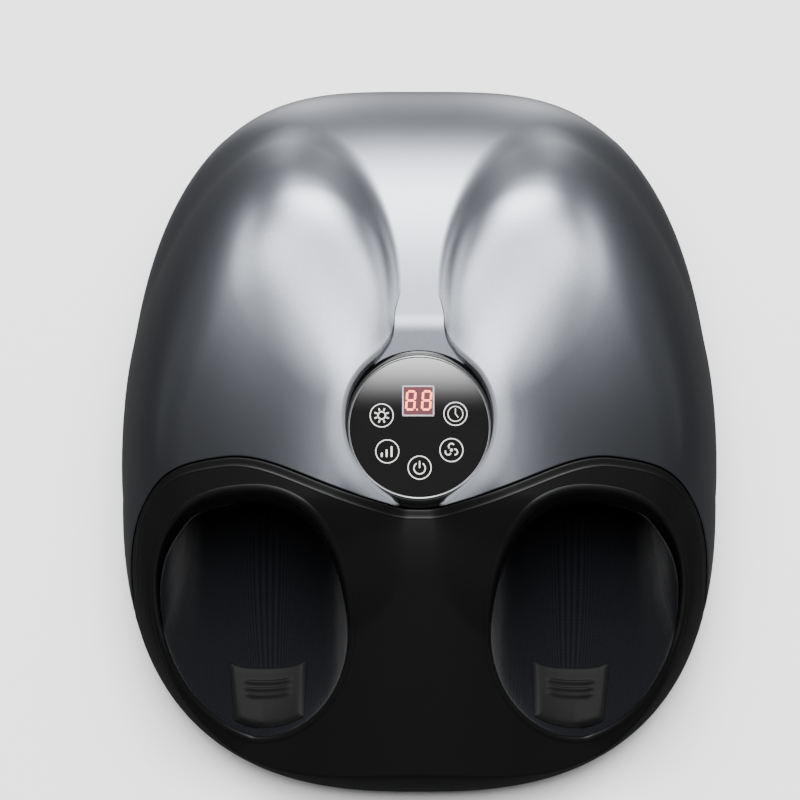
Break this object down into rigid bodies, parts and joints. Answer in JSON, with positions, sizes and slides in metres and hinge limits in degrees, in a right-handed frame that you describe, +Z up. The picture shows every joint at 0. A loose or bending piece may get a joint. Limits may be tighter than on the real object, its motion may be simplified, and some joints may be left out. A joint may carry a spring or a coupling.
{
  "type": "foot massager",
  "caption": "Domed foot massager with two foot wells, a sloping round touch panel, kneading heads under the soles and instep airbags.",
  "frame": {"origin": "centre of the bounding box on the floor", "axes": "+Z up, +Y to the back, away from the user, +X to the user's right"},
  "size_m": [0.39, 0.48, 0.2087],
  "materials": {
    "silver_paint": "satin silver-grey metallic paint on ABS",
    "black_satin": "satin black ABS",
    "black_matte": "fine matt black ABS",
    "black_gloss": "polished black ABS",
    "chrome": "bright plated ring",
    "glass": "polished black acrylic, printed on its back",
    "display": "two-digit LED block",
    "board": "green circuit board",
    "rubber": "matt black rubber",
    "fabric": "black knitted polyester",
    "steel": "ground steel",
    "zinc": "zinc-plated steel",
    "white_nylon": "moulded white acetal",
    "grey_plastic": "moulded dark grey ABS",
    "bladder": "welded polyurethane film",
    "felt": "heating wire between two layers of felt",
    "clear_hose": "translucent silicone tube",
    "brass": "cut brass"
  },
  "bodies": {
    "housing": {"top_shell": "silver_paint", "front_fascia": "black_satin", "base_tray": "black_matte", "control_collar": "black_gloss", "bezel_ring": "chrome", "control_glass": "glass", "touch_board": "board", "control_cup": "black_matte", "display_module": "display", "drive_motor": "zinc", "motor_cradle": "grey_plastic", "motor_strap": "zinc", "air_pump": "grey_plastic", "valve_block": "white_nylon", "main_board": "board", "power_inlet": "black_gloss", "foot_back_right": "rubber", "case_screw_back_right": "zinc", "foot_back_left": "rubber", "case_screw_back_left": "zinc", "foot_front_right": "rubber", "case_screw_front_right": "zinc", "foot_front_left": "rubber", "case_screw_front_left": "zinc", "air_hose_right": "clear_hose", "gear_case_right": "grey_plastic", "shaft_bush_inner_right": "white_nylon", "shaft_bush_outer_right": "white_nylon", "sole_plate_right": "black_matte", "heater_pad_right": "felt", "heel_rest_right": "grey_plastic", "instep_airbag_right": "bladder", "foot_arch_right": "grey_plastic", "wheel_pin_back_right": "steel", "wheel_pin_front_right": "steel", "well_liner_right": "fabric", "air_hose_left": "clear_hose", "gear_case_left": "grey_plastic", "shaft_bush_inner_left": "white_nylon", "shaft_bush_outer_left": "white_nylon", "sole_plate_left": "black_matte", "heater_pad_left": "felt", "heel_rest_left": "grey_plastic", "instep_airbag_left": "bladder", "foot_arch_left": "grey_plastic", "wheel_pin_back_left": "steel", "wheel_pin_front_left": "steel", "well_liner_left": "fabric"},
    "drive_line": {"drive_shaft": "steel", "worm_right": "brass", "worm_left": "brass"},
    "head_back_right": {"worm_wheel_back_right": "white_nylon", "kneading_head_back_right": "grey_plastic"},
    "head_front_right": {"worm_wheel_front_right": "white_nylon", "kneading_head_front_right": "grey_plastic"},
    "head_back_left": {"worm_wheel_back_left": "white_nylon", "kneading_head_back_left": "grey_plastic"},
    "head_front_left": {"worm_wheel_front_left": "white_nylon", "kneading_head_front_left": "grey_plastic"}
  },
  "joints": [
    {"name": "drive_line_spin", "type": "hinge", "parent": "housing", "child": "drive_line", "pos_m": [0, -0.03, 0.036], "axis": [1, 0, 0], "continuous": true},
    {"name": "head_back_right_spin", "type": "hinge", "parent": "housing", "child": "head_back_right", "pos_m": [0.097, 0.00565, 0.04101], "axis": [0, -0.1392, 0.9903], "continuous": true},
    {"name": "head_front_right_spin", "type": "hinge", "parent": "housing", "child": "head_front_right", "pos_m": [0.097, -0.06565, 0.03099], "axis": [0, -0.1392, 0.9903], "continuous": true},
    {"name": "head_back_left_spin", "type": "hinge", "parent": "housing", "child": "head_back_left", "pos_m": [-0.097, 0.00565, 0.04101], "axis": [0, -0.1392, 0.9903], "continuous": true},
    {"name": "head_front_left_spin", "type": "hinge", "parent": "housing", "child": "head_front_left", "pos_m": [-0.097, -0.06565, 0.03099], "axis": [0, -0.1392, 0.9903], "continuous": true}
  ],
  "couplings": [
    {"joint": "head_back_right_spin", "follows": "drive_line_spin", "ratio": -0.055556},
    {"joint": "head_front_right_spin", "follows": "drive_line_spin", "ratio": 0.055556},
    {"joint": "head_back_left_spin", "follows": "drive_line_spin", "ratio": 0.055556},
    {"joint": "head_front_left_spin", "follows": "drive_line_spin", "ratio": -0.055556}
  ]
}
